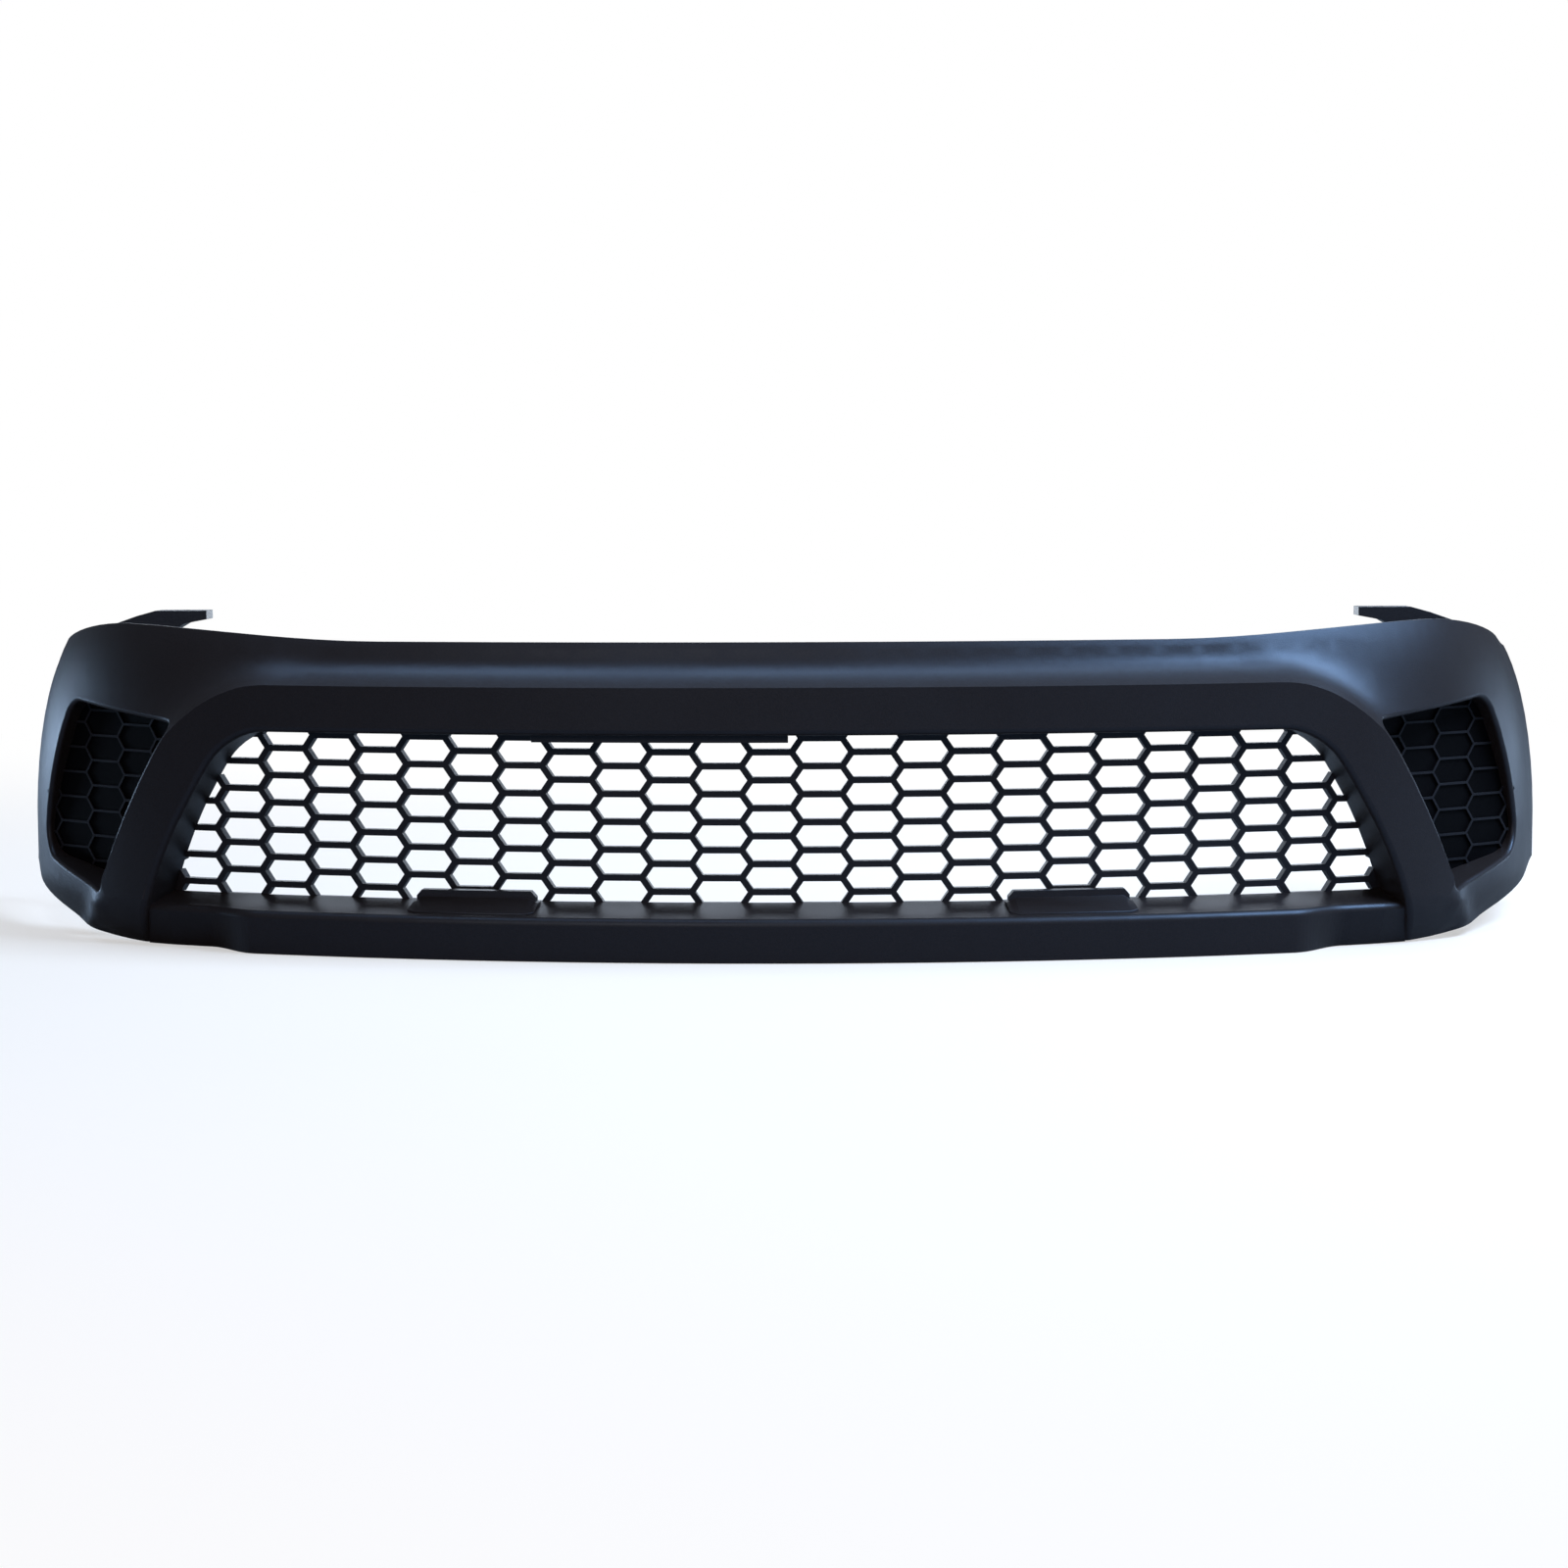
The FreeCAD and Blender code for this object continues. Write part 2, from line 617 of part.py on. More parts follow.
def upper_arm(side):
    """An upper arm: a flat web behind the rear corner, edged by flanges and closed at its tip."""
    label = "right_upper_arm" if side > 0 else "left_upper_arm"
    front = size("rear_edge") + size("fit_gap")
    thick = size("arm_plate")
    top = size("arm_top")
    upper = [(850, 262), (833, 290), (806, 312), (777, 328), (750, 337.5), (728, top), (668, top)]
    lower = [(668, top - 10), (694, top - 15), (716, top - 28), (752, top - 62), (790, 262), (802, 190)]
    foot = [(846, 190)]

    def plate(points, depth, start):
        spots = [Vector(side * x, start, z) for x, z in points]
        face = Part.Face(Part.makePolygon([*spots, spots[0]]))
        return face.extrude(Vector(0, depth, 0))

    def flange(path, inwards):
        inner = [(x + dx * thick, z + dz * thick) for (x, z), (dx, dz) in zip(path, inwards)]
        return plate([*path, *reversed(inner)], size("arm_depth"), front)

    web = plate([*upper, *lower, *foot], thick, front)
    crown = upper[1:]
    crown_in = [(-0.80, -0.62), (-0.60, -0.80), (-0.45, -0.90), (-0.30, -0.96), (-0.10, -1.0), (0, -1.0)]
    under = lower[:4]
    under_in = [(0.20, 1.0), (0.45, 0.95), (0.68, 0.80), (0.72, 0.72)]
    tip = plate([(668, top), (668 + thick, top), (668 + thick, top - 10), (668, top - 10)],
                size("arm_depth"), front)
    arm = web.fuse([flange(crown, crown_in), flange(under, under_in), tip])
    cuts = bolt_holes(arm_bolts(side))
    stud = Vector(side * 696, front + size("arm_depth") - 14, top - 8)
    cuts.append(Part.makeCylinder(size("arm_hole_radius"), 20, stud))
    return piece(label, biggest(arm.cut(cuts)))


def lip_pad(side):
    """A raised pad bonded to the ledge: a wide sloped step with a low block along its back."""
    label = "right_lip_pad" if side > 0 else "left_lip_pad"
    middle = size("pad_run") * side
    half = size("pad_length") / 2
    drop = size("lip_back_height") - size("lip_edge_height")
    slope = drop / (size("lip_proud") - size("lip_round") - size("lip_back_proud"))

    def ledge(proud):
        return size("lip_back_height") - slope * (proud - size("lip_back_proud")) + size("fit_gap")

    sections = []
    for share, trim in ((-1, 1), (-0.86, 0), (0.86, 0), (1, 1)):
        run = middle + share * half
        front = 48 - 6 * trim
        crest = 60 - 5 * trim
        profile = [(8, ledge(8)), (front, ledge(front)), (front - 0.5, ledge(front) + 1.2),
                   (20, crest), (8, crest + 0.5)]
        spots = [at(run, proud, height) for proud, height in profile]
        sections.append(Part.makePolygon([*spots, spots[0]]))
    step = Part.makeLoft(sections, True, True)
    blocks = []
    for share, trim in ((-0.96, 6), (-0.88, 0), (0.88, 0), (0.96, 6)):
        run = middle + share * half
        profile = [(9, 54.5), (19, 54.5), (18, 67 - trim), (9, 67.5 - trim)]
        spots = [at(run, proud, height) for proud, height in profile]
        blocks.append(Part.makePolygon([*spots, spots[0]]))
    block = Part.makeLoft(blocks, True, True)
    return piece(label, biggest(step.fuse(block)))


def mesh_top_strip():
    """A short strip that hangs from the top of the opening, just behind the ring."""
    low = size("opening_top") - size("strip_height")
    strip = band(30, 30 + size("strip_thick"), low, size("opening_top") - size("fit_gap"))
    start, stop = size("strip_start"), size("strip_end")
    keep = Part.makeBox(stop - start, 120, 40, Vector(start, -90, low - 5))
    return piece("mesh_top_strip", biggest(strip.common(keep)))


def rail(label, proud, low, bolts=()):
    """A folded steel rail that stiffens a long edge from behind: an open channel."""
    width, wall = size("rail_width"), size("rail_wall")
    high = low + size("rail_height")
    outer = band(proud - width, proud, low, high)
    hollow = band(proud - width - 5, proud - wall, low + wall, high - wall)
    reach = size("rail_reach")
    keep = Part.makeBox(2 * reach, 500, 500, Vector(-reach, -120, -60))
    channel = outer.cut(hollow).common(keep)
    if bolts:
        channel = channel.cut(bolt_holes(bolts))
    return piece(label, biggest(channel))


# ---------------------------------------------------------------- fasteners from primitives

def bound(kind, name, **bindings):
    """A Part primitive whose sizes follow the sheet."""
    item = doc.addObject(kind, name)
    for name_of_size, expression in bindings.items():
        item.setExpression(name_of_size, expression)
    return item


def fused(name, items):
    union = doc.addObject("Part::MultiFuse", name)
    union.Shapes = items
    return union


def group(label, pattern, places, lift=0.0):
    """Identical fasteners as one node: copies of the pattern, its +Z along each direction."""
    copies = []
    for spot, direction in places:
        copy = pattern.Shape.copy()
        turn = FreeCAD.Rotation(Vector(0, 0, 1), direction)
        copy.Placement = FreeCAD.Placement(spot + direction * lift, turn)
        copies.append(copy)
    return piece(label, Part.makeCompound(copies))


def screw_pattern():
    """A pan-head screw: its head below Z = 0 and its tapered shank above."""
    head = bound("Part::Cylinder", "screw_head", Radius="Sizes.screw_head_radius",
                 Height="Sizes.screw_head_height")
    head.setExpression("Placement.Base.z", "-Sizes.screw_head_height")
    shank = bound("Part::Cylinder", "screw_shank", Radius="Sizes.screw_radius",
                  Height="Sizes.screw_length - 3")
    point = bound("Part::Cone", "screw_point", Radius1="Sizes.screw_radius",
                  Radius2="Sizes.screw_radius / 4", Height="3")
    point.setExpression("Placement.Base.z", "Sizes.screw_length - 3")
    recess = bound("Part::Prism", "screw_recess", Circumradius="Sizes.screw_radius * 0.8",
                   Height="1.6")
    recess.Polygon = 6
    recess.setExpression("Placement.Base.z", "-Sizes.screw_head_height - 0.2")
    body = fused("screw_body", [head, shank, point])
    screw = doc.addObject("Part::Cut", "screw")
    screw.Base, screw.Tool = body, recess
    return screw


def bolt_pattern():
    """A hexagon-head bolt: its head below Z = 0 and its shank above."""
    head = bound("Part::Prism", "bolt_head", Circumradius="Sizes.bolt_head_width / 1.732",
                 Height="Sizes.bolt_head_height")
    head.Polygon = 6
    head.setExpression("Placement.Base.z", "-Sizes.bolt_head_height")
    shank = bound("Part::Cylinder", "bolt_shank", Radius="Sizes.bolt_radius",
                  Height="Sizes.bolt_length")
    return fused("bolt", [head, shank])


def ring_pattern(name, outer, clearance, height, hexagonal):
    """A washer or a nut: a disc or hexagon with a clear hole, standing on Z = 0."""
    kind = "Part::Prism" if hexagonal else "Part::Cylinder"
    blank = bound(kind, name + "_blank", Height=height)
    blank.setExpression("Circumradius" if hexagonal else "Radius", outer)
    if hexagonal:
        blank.Polygon = 6
    hole = bound("Part::Cylinder", name + "_hole", Radius=clearance, Height=height + " + 2")
    hole.setExpression("Placement.Base.z", "-1")
    ring = doc.addObject("Part::Cut", name)
    ring.Base, ring.Tool = blank, hole
    return ring


# ---------------------------------------------------------------- lower mounting bracket

def lower_bracket(side):
    """A bent steel bracket behind the lip: an upright leg on the lip, a level foot to the rear."""
    label = "right_lower_bracket" if side > 0 else "left_lower_bracket"
    body = doc.addObject("PartDesign::Body", label)
    body.Label = label
    planes = {plane.Role: plane for plane in body.Origin.OriginFeatures}
    profile = body.newObject("Sketcher::SketchObject", label + "_profile")
    profile.AttachmentSupport = [(planes["YZ_Plane"], "")]
    profile.MapMode = "FlatFace"
    leg, foot, thick = size("bracket_leg"), size("bracket_foot"), size("bracket_thick")
    corners = [(0, 0), (foot, 0), (foot, thick), (thick, thick), (thick, leg), (0, leg)]
    spots = [Vector(y, z, 0) for y, z in corners]
    for start, stop in zip(spots, spots[1:] + spots[:1]):
        profile.addGeometry(Part.LineSegment(start, stop), False)
    for number in range(6):
        profile.addConstraint(Sketcher.Constraint("Coincident", number, 2, (number + 1) % 6, 1))
    for number in range(6):
        kind = "Horizontal" if number % 2 == 0 else "Vertical"
        profile.addConstraint(Sketcher.Constraint(kind, number))
    profile.addConstraint(Sketcher.Constraint("Coincident", 0, 1, -1, 1))
    lengths = [("DistanceX", 0, foot, "bracket_foot"), ("DistanceY", 1, thick, "bracket_thick"),
               ("DistanceY", 5, -leg, "bracket_leg"), ("DistanceX", 4, -thick, "bracket_thick")]
    for kind, edge, value, alias in lengths:
        number = profile.addConstraint(Sketcher.Constraint(kind, edge, 1, edge, 2, value))
        sign = "-" if value < 0 else ""
        profile.setExpression(f"Constraints[{number}]", f"{sign}Sizes.{alias}")
    pad = body.newObject("PartDesign::Pad", label + "_pad")
    pad.Profile = profile
    pad.setExpression("Length", "Sizes.bracket_width")
    pad.Midplane = True
    doc.recompute()
    feet = body.newObject("Sketcher::SketchObject", label + "_foot_holes")
    feet.AttachmentSupport = [(planes["XY_Plane"], "")]
    feet.MapMode = "FlatFace"
    for sign in (-1, 1):
        centre = Vector(sign * size("bracket_hole_spacing") / 2, foot - 16, 0)
        feet.addGeometry(Part.Circle(centre, Vector(0, 0, 1), size("bracket_hole_radius")), False)
    bolts = body.newObject("Sketcher::SketchObject", label + "_bolt_holes")
    bolts.AttachmentSupport = [(planes["XZ_Plane"], "")]
    bolts.MapMode = "FlatFace"
    for sign in (-1, 1):
        centre = Vector(sign * size("bracket_bolt_spacing") / 2, size("bracket_bolt_height"), 0)
        radius = size("bolt_radius") + size("bolt_clearance")
        bolts.addGeometry(Part.Circle(centre, Vector(0, 0, 1), radius), False)
    for name, sketch in (("foot_cut", feet), ("bolt_cut", bolts)):
        cut = body.newObject("PartDesign::Pocket", f"{label}_{name}")
        cut.Profile = sketch
        cut.Length = 12
        cut.Midplane = True
        doc.recompute()
    run = side * size("bracket_run")
    turn = FreeCAD.Rotation(Vector(0, 0, 1), math.degrees(heading(run)))
    body.Placement = FreeCAD.Placement(bracket_seat(side), turn)
    doc.recompute()
    return body


# ---------------------------------------------------------------- the assembly

nodes = [cover_shell(), centre_mesh(), mesh_top_strip()]
nodes.append(rail("visor_rail", size("visor_rail_proud"), size("visor_rail_height")))
bracket_places = [place for side in (-1, 1) for place in bracket_bolts(side)]
nodes.append(rail("lip_rail", size("lip_rail_proud"), size("lip_rail_height"), bracket_places))
for side in (-1, 1):
    nodes += [pod_insert(side), upper_arm(side), lip_pad(side), lower_bracket(side)]

screw, bolt = screw_pattern(), bolt_pattern()
clear = "Sizes.bolt_radius + Sizes.bolt_clearance"
washer = ring_pattern("washer", "Sizes.washer_radius", clear, "Sizes.washer_thick", False)
nut = ring_pattern("nut", "Sizes.bolt_head_width / 1.732", clear, "Sizes.nut_height", True)
doc.recompute()

nodes.append(group("mesh_screws", screw, mesh_screws()))
for side, name in ((-1, "left"), (1, "right")):
    nodes.append(group(name + "_pod_screws", screw, pod_screws(side)))
    bolts = arm_bolts(side)
    wall = size("arm_plate") + size("fit_gap") + size("skin")
    nodes.append(group(name + "_arm_washers", washer, bolts, -size("washer_thick")))
    nodes.append(group(name + "_arm_bolts", bolt, bolts, -size("washer_thick")))
    nodes.append(group(name + "_arm_nuts", nut, bolts, wall))
bracket_grip = size("bracket_thick") + size("fit_gap") + size("rail_width") - size("rail_wall")
nodes.append(group("bracket_bolts", bolt, bracket_places))
nodes.append(group("bracket_nuts", nut, bracket_places, bracket_grip - size("nut_height") - 0.05))

# The row's origin is under the middle of the whole object, so every piece moves forward.
centring = FreeCAD.Placement(Vector(0, -size("setback"), 0), FreeCAD.Rotation())
for node in nodes:
    node.Placement = centring.multiply(node.Placement)
doc.recompute()
for item in doc.Objects:
    if {"Invalid", "Error"} & set(item.State):
        raise RuntimeError(f"{item.Name} did not build: {item.State}")
for node in nodes:
    if node.Shape.isNull() or not node.Shape.isValid():
        raise RuntimeError(f"{node.Label} has no valid shape")

os.makedirs("parts", exist_ok=True)
for node in nodes:
    node.Shape.exportStep(f"parts/{node.Label}.step")
    print(node.Label, len(node.Shape.Solids), round(node.Shape.Volume))
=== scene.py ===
"""Looks for the bumper cover: camera, studio, materials and pieces with rounded edges."""
import json
import math

import bmesh
import bpy
from mathutils import Matrix, Vector


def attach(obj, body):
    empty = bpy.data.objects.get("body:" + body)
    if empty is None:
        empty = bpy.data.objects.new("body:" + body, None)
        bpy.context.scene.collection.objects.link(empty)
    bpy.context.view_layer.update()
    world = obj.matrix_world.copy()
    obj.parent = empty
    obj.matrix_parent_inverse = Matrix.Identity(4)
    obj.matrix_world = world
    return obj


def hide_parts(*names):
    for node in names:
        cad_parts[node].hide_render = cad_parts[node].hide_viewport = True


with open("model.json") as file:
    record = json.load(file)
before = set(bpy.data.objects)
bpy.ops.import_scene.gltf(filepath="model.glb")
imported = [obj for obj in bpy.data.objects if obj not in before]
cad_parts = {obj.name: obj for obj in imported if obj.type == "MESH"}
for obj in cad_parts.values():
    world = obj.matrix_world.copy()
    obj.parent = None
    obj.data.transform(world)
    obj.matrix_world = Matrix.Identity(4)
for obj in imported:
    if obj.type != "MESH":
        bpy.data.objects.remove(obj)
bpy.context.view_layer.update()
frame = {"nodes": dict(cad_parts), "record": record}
nodes = frame["nodes"]
scene = bpy.context.scene


# ---------------------------------------------------------------- camera

CAMERA_PLACE = (0.0832, -3.31265, 0.4708)
CAMERA_YAW, CAMERA_PITCH, CAMERA_ROLL = -1.29, 5.36, -0.24
LENS, SENSOR_WIDTH = 69.86, 36.0
FARTHEST_SEEN = 60.0


def camera_axes(yaw, pitch, roll):
    """Camera axes as a matrix: turned about Z, then tipped, then rolled, in degrees."""
    yaw, pitch, roll = (math.radians(angle) for angle in (yaw, pitch, roll))
    rotation = (Matrix.Rotation(roll, 3, "Y") @ Matrix.Rotation(pitch, 3, "X")
                @ Matrix.Rotation(yaw, 3, "Z"))
    right, forward, up = rotation
    return Matrix((right, up, -forward)).transposed()


camera_data = bpy.data.cameras.new("camera")
camera_data.lens = LENS
camera_data.sensor_width = SENSOR_WIDTH
camera_data.clip_end = FARTHEST_SEEN
camera = bpy.data.objects.new("camera", camera_data)
scene.collection.objects.link(camera)
camera.matrix_world = (Matrix.Translation(CAMERA_PLACE)
                       @ camera_axes(CAMERA_YAW, CAMERA_PITCH, CAMERA_ROLL).to_4x4())
scene.camera = camera


# ---------------------------------------------------------------- studio

SKY = (0.56, 0.75, 1.0)
PALE_SKY = (0.80, 0.88, 1.0)
NEAR_WHITE = (0.85, 0.92, 1.0)
WARM = (1.0, 0.80, 0.70)
# Name, place, target, width, height, power in watts, and colour of each area light.
LIGHTS = (
    ("key", (2.3, -0.7, 2.5), (0.8, 0.0, 0.3), 1.8, 1.2, 150, SKY),
    ("fill", (-0.6, -3.0, 1.6), (0.0, 0.0, 0.2), 1.6, 1.0, 16, WARM),
    ("top", (0.1, 0.1, 2.8), (0.1, 0.1, 0.3), 3.4, 1.2, 54, SKY),
    ("behind", (0.0, 2.6, 1.3), (0.0, -0.2, 0.1), 3.0, 0.8, 18, PALE_SKY),
    ("inside", (0.0, 2.8, 0.35), (0.0, 0.0, 0.2), 3.0, 0.5, 22, NEAR_WHITE),
    ("wrap_left", (-2.9, 1.3, 0.15), (-0.85, 0.1, 0.10), 1.6, 0.4, 17, SKY),
    ("wrap_right", (2.9, 1.3, 0.15), (0.85, 0.1, 0.10), 1.6, 0.4, 9, SKY),
)
# Colour and strength of the world, as light on the object and as the camera sees it.
ROOM = ((0.85, 0.90, 1.0, 1), 0.10)
BACKDROP = ((1, 1, 1, 1), 1.0)


def area_light(name, place, target, wide, high, power, colour):
    """A rectangular light that faces its target."""
    light = bpy.data.lights.new(name, "AREA")
    light.shape = "RECTANGLE"
    light.size, light.size_y = wide, high
    light.energy = power
    light.color = colour
    item = bpy.data.objects.new(name, light)
    item.location = place
    aim = Vector(target) - Vector(place)
    item.rotation_euler = aim.to_track_quat("-Z", "Y").to_euler()
    scene.collection.objects.link(item)


def mixed_world():
    """A dim even room, in front of a white backdrop that only the camera sees."""
    world = bpy.data.worlds.new("studio")
    scene.world = world
    world.use_nodes = True
    tree = world.node_tree
    tree.nodes.clear()
    output = tree.nodes.new("ShaderNodeOutputWorld")
    mix = tree.nodes.new("ShaderNodeMixShader")
    path = tree.nodes.new("ShaderNodeLightPath")
    tree.links.new(path.outputs["Is Camera Ray"], mix.inputs["Fac"])
    for entry, (colour, strength) in enumerate((ROOM, BACKDROP), start=1):
        background = tree.nodes.new("ShaderNodeBackground")
        background.inputs["Color"].default_value = colour
        background.inputs["Strength"].default_value = strength
        tree.links.new(background.outputs[0], mix.inputs[entry])
    tree.links.new(mix.outputs[0], output.inputs["Surface"])


mixed_world()
for row in LIGHTS:
    area_light(*row)
scene.view_settings.view_transform = "Standard"
scene.view_settings.look = "None"


# ---------------------------------------------------------------- shader nodes

def new_material(name):
    """A material with its node tree and its shader."""
    material = bpy.data.materials.new(name)
    material.use_nodes = True
    tree = material.node_tree
    return material, tree, tree.nodes["Principled BSDF"]


def math_node(tree, operation, *values):
    """Result of a math node whose inputs are sockets or plain numbers."""
    node = tree.nodes.new("ShaderNodeMath")
    node.operation = operation
    for entry, value in zip(node.inputs, values):
        if isinstance(value, bpy.types.NodeSocket):
            tree.links.new(value, entry)
        else:
            entry.default_value = value
    return node.outputs[0]


def ramp_node(tree, value, start, end, low, high=1.0):
    """A map range node that goes from low, where the value is at start, to high at end."""
    node = tree.nodes.new("ShaderNodeMapRange")
    node.inputs["From Min"].default_value = start
    node.inputs["From Max"].default_value = end
    node.inputs["To Min"].default_value = low
    node.inputs["To Max"].default_value = high
    tree.links.new(value, node.inputs["Value"])
    return node


# ---------------------------------------------------------------- floor

PAPER_ROUGHNESS, PAPER_SPECULAR = 0.9, 0.1
# The paper's colour for the light that bounces off it, and for the camera.
PAPER_BOUNCE = (0.24, 0.24, 0.24, 1)
PAPER_SEEN = (0.97, 0.87, 0.80, 1)
# The glow's share near the object, and where it starts to rise and where it is full, in metres.
GLOW_LEAST = 0.5
GLOW_FROM, GLOW_FULL = 0.7, 3.2
FLOOR_REACH = 14.0
FLOOR_GAP = 0.0005


def floor_paper():
    """Pale seamless paper: matt near the object, and as bright as the backdrop further away."""
    material, tree, shader = new_material("floor_paper")
    shader.inputs["Roughness"].default_value = PAPER_ROUGHNESS
    shader.inputs["Specular IOR Level"].default_value = PAPER_SPECULAR
    seen = tree.nodes.new("ShaderNodeLightPath").outputs["Is Camera Ray"]
    paper = tree.nodes.new("ShaderNodeMix")
    paper.data_type = "RGBA"
    paper.inputs["A"].default_value = PAPER_BOUNCE
    paper.inputs["B"].default_value = PAPER_SEEN
    tree.links.new(seen, paper.inputs["Factor"])
    tree.links.new(paper.outputs["Result"], shader.inputs["Base Color"])
    place = tree.nodes.new("ShaderNodeTexCoord")
    distance = tree.nodes.new("ShaderNodeVectorMath")
    distance.operation = "LENGTH"
    tree.links.new(place.outputs["Object"], distance.inputs[0])
    share = ramp_node(tree, distance.outputs["Value"], GLOW_FROM, GLOW_FULL, GLOW_LEAST)
    share.interpolation_type = "SMOOTHSTEP"
    glow = tree.nodes.new("ShaderNodeEmission")
    blend = tree.nodes.new("ShaderNodeMixShader")
    tree.links.new(math_node(tree, "MULTIPLY", share.outputs["Result"], seen), blend.inputs["Fac"])
    tree.links.new(shader.outputs[0], blend.inputs[1])
    tree.links.new(glow.outputs[0], blend.inputs[2])
    tree.links.new(blend.outputs[0], tree.nodes["Material Output"].inputs["Surface"])
    return material


floor_corners = [(-FLOOR_REACH, -FLOOR_REACH, 0), (FLOOR_REACH, -FLOOR_REACH, 0),
                 (FLOOR_REACH, FLOOR_REACH, 0), (-FLOOR_REACH, FLOOR_REACH, 0)]
floor_mesh = bpy.data.meshes.new("floor")
floor_mesh.from_pydata(floor_corners, [], [(0, 1, 2, 3)])
floor_mesh.materials.append(floor_paper())
floor = bpy.data.objects.new("floor", floor_mesh)
floor.location.z = -FLOOR_GAP
scene.collection.objects.link(floor)


# ---------------------------------------------------------------- materials

# Noise stays mostly between these two values, so every change is spread over that range.
NOISE_LOW, NOISE_HIGH = 0.3, 0.7
GLOSS_SCALE, GLOSS_DETAIL, GLOSS_SPREAD = 9.0, 4.0, 0.04
GRAIN_DETAIL = 3.0
BUMP_STRENGTH = 0.5
# The pods' floor gets painted shade: this share of the ribs' colour and specular level.
CELL_PAINTED_SHADE = 0.2
RIB_SPECULAR = 0.3
# The painted shade starts this far below the ribs' tops and is full this far above the floor.
# Behind the floor it is full down to the first depth and gone at the second.
BELOW_RIB_TOPS, ABOVE_FLOOR = 0.0005, 0.0003
BEHIND_FULL, BEHIND_GONE = 0.0006, 0.0012


def grained(name, colour, roughness, grain=900.0, relief=0.0003, tint=(1, 1, 1), metallic=0.0,
            mottle=0.25):
    """Moulded plastic or coated metal: fine grain in relief and colour, slow change in gloss."""
    material, tree, shader = new_material(name)
    place = tree.nodes.new("ShaderNodeTexCoord")

    def noise(scale, detail):
        """Noise over the object's own space."""
        texture = tree.nodes.new("ShaderNodeTexNoise")
        texture.inputs["Scale"].default_value = scale
        texture.inputs["Detail"].default_value = detail
        tree.links.new(place.outputs["Object"], texture.inputs["Vector"])
        return texture.outputs["Fac"]

    gloss = ramp_node(tree, noise(GLOSS_SCALE, GLOSS_DETAIL), NOISE_LOW, NOISE_HIGH,
                      roughness - GLOSS_SPREAD, roughness + GLOSS_SPREAD)
    tree.links.new(gloss.outputs["Result"], shader.inputs["Roughness"])
    fine = noise(grain, GRAIN_DETAIL)
    tone = tree.nodes.new("ShaderNodeValToRGB")
    stops = ((NOISE_LOW, 1 - mottle), (NOISE_HIGH, 1 + mottle))
    for element, (position, share) in zip(tone.color_ramp.elements, stops):
        element.position = position
        element.color = (*(channel * share for channel in colour), 1)
    tree.links.new(fine, tone.inputs["Fac"])
    tree.links.new(tone.outputs["Color"], shader.inputs["Base Color"])
    bump = tree.nodes.new("ShaderNodeBump")
    bump.inputs["Distance"].default_value = relief
    bump.inputs["Strength"].default_value = BUMP_STRENGTH
    tree.links.new(fine, bump.inputs["Height"])
    tree.links.new(bump.outputs["Normal"], shader.inputs["Normal"])
    shader.inputs["Specular Tint"].default_value = (*tint, 1)
    shader.inputs["Metallic"].default_value = metallic
    return material


def painted_shade_cells(material, floor_depth, rib_depth, direction):
    """Paints shade on the pods' flat floor, between the ribs that stand on it along the direction.

    The first ramp is plain from just below the ribs' tops and dark at the floor. The second is
    plain again from just behind the floor, so that the panel's back isn't darkened.
    """
    tree = material.node_tree
    shader = tree.nodes["Principled BSDF"]
    place = tree.nodes.new("ShaderNodeTexCoord")
    split = tree.nodes.new("ShaderNodeSeparateXYZ")
    tree.links.new(place.outputs["Object"], split.inputs[0])
    mirrored = math_node(tree, "ABSOLUTE", split.outputs["X"])
    sideways = math_node(tree, "MULTIPLY", mirrored, math.sin(direction))
    depth = math_node(tree, "MULTIPLY_ADD", split.outputs["Y"], -math.cos(direction), sideways)
    above = ramp_node(tree, depth, floor_depth + ABOVE_FLOOR, rib_depth - BELOW_RIB_TOPS,
                      CELL_PAINTED_SHADE)
    behind = ramp_node(tree, depth, floor_depth - BEHIND_FULL, floor_depth - BEHIND_GONE,
                       CELL_PAINTED_SHADE)
    # Share of painted shade: full on the floor between the ribs, none on the ribs' tops and the
    # panel's back.
    painted_shade_share = math_node(tree, "MAXIMUM", above.outputs["Result"], behind.outputs["Result"])
    shade = tree.nodes.new("ShaderNodeVectorMath")
    shade.operation = "SCALE"
    tree.links.new(shader.inputs["Base Color"].links[0].from_socket, shade.inputs[0])
    tree.links.new(painted_shade_share, shade.inputs["Scale"])
    tree.links.new(shade.outputs["Vector"], shader.inputs["Base Color"])
    # The painted shade also lowers the specular level, which dims the reflections on the floor.
    tree.links.new(math_node(tree, "MULTIPLY", painted_shade_share, RIB_SPECULAR),
                   shader.inputs["Specular IOR Level"])
    return material


BLUISH = (0.50, 0.70, 1.0)
SLOTS = {
    "moulded_skin": grained("moulded_skin", (0.019, 0.0135, 0.0120), 0.42, tint=BLUISH),
    "mesh_plastic": grained("mesh_plastic", (0.016, 0.0125, 0.0120), 0.46, tint=BLUISH),
    "arm_plastic": grained("arm_plastic", (0.020, 0.018, 0.020), 0.45, grain=700.0, tint=BLUISH),
    "coated_steel": grained("coated_steel", (0.030, 0.030, 0.033), 0.38, grain=500.0,
                            relief=0.0002),
    "black_screw": grained("black_screw", (0.045, 0.045, 0.050), 0.35, grain=800.0,
                           relief=0.0001, metallic=0.8),
    "zinc_hardware": grained("zinc_hardware", (0.55, 0.55, 0.53), 0.33, grain=600.0,
                             relief=0.0001, metallic=1.0, mottle=0.12),
}

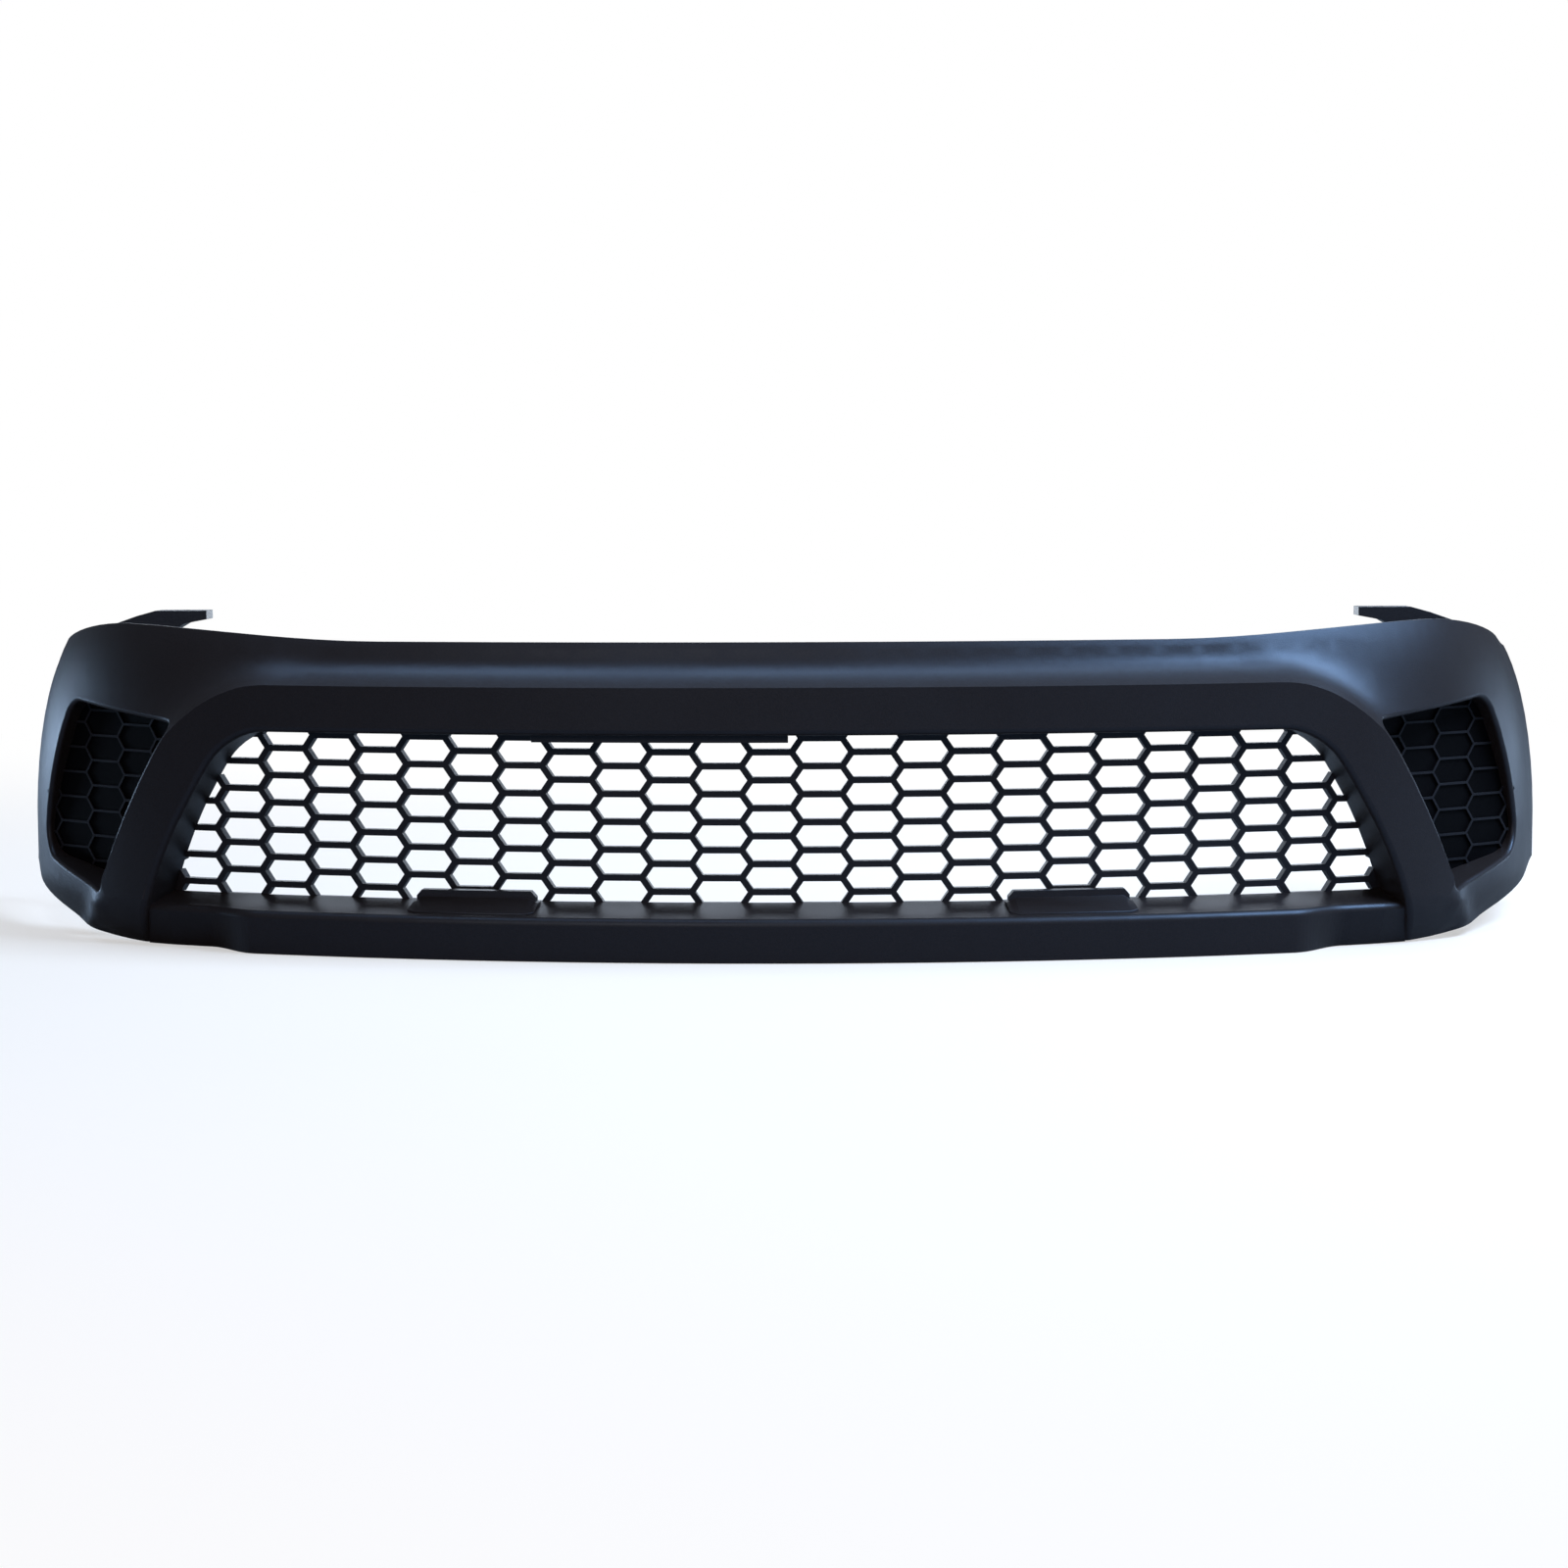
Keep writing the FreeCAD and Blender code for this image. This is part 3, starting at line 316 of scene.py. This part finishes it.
# The pods face outwards by this angle. Their floor lies this far along that direction from the
# skin's own origin, which is this far in front of the frame's origin.
POD_DIRECTION = math.radians(35.0)
POD_PLANE = 0.2646
ORIGIN_SHIFT = 0.19265
POD_FLOOR = POD_PLANE + ORIGIN_SHIFT * math.cos(POD_DIRECTION)
RIB_HEIGHT = 0.0025
# The pods' plastic, with painted shade on the floor between its ribs.
POD_PAINTED_SHADE_MATERIAL = painted_shade_cells(grained("pod_plastic_painted_shade", (0.013, 0.011, 0.012), 0.5, tint=BLUISH),
                            POD_FLOOR, POD_FLOOR + RIB_HEIGHT, POD_DIRECTION)


# ---------------------------------------------------------------- pieces

MERGE_DISTANCE = 2e-6
FLAT_ANGLE = math.radians(0.5)
SHARP_ANGLE = math.radians(35)
BEVEL_SEGMENTS = 2
# Pieces with rounded edges, and how wide each edge's rounding is.
EDGE_WIDTHS = {
    "centre_mesh": 0.0007, "mesh_top_strip": 0.0005,
    "left_pod_insert": 0.0004, "right_pod_insert": 0.0004,
    "left_upper_arm": 0.0006, "right_upper_arm": 0.0006,
    "left_lip_pad": 0.0016, "right_lip_pad": 0.0016,
}


def softened(name, width):
    """The node's shape with every sharp edge rounded, as moulded and pressed pieces have."""
    mesh = nodes[name].data.copy()
    if "custom_normal" in mesh.attributes:
        mesh.attributes.remove(mesh.attributes["custom_normal"])
    shape = bmesh.new()
    shape.from_mesh(mesh)
    bmesh.ops.remove_doubles(shape, verts=shape.verts, dist=MERGE_DISTANCE)
    bmesh.ops.dissolve_limit(shape, angle_limit=FLAT_ANGLE, verts=shape.verts, edges=shape.edges)
    shape.to_mesh(mesh)
    shape.free()
    mesh.shade_smooth()
    piece = bpy.data.objects.new(name + "_rounded", mesh)
    scene.collection.objects.link(piece)
    edges = piece.modifiers.new("edges", "BEVEL")
    edges.width = width
    edges.segments = BEVEL_SEGMENTS
    edges.limit_method = "ANGLE"
    edges.angle_limit = SHARP_ANGLE
    edges.harden_normals = True
    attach(piece, "root")
    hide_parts(name)
    return piece


for part in frame["record"]["subparts"]:
    name, slot = part["node"], part["material_slot"]
    item = softened(name, EDGE_WIDTHS[name]) if name in EDGE_WIDTHS else nodes[name]
    item.data.materials.clear()
    item.data.materials.append(POD_PAINTED_SHADE_MATERIAL if name.endswith("pod_insert") else SLOTS[slot])
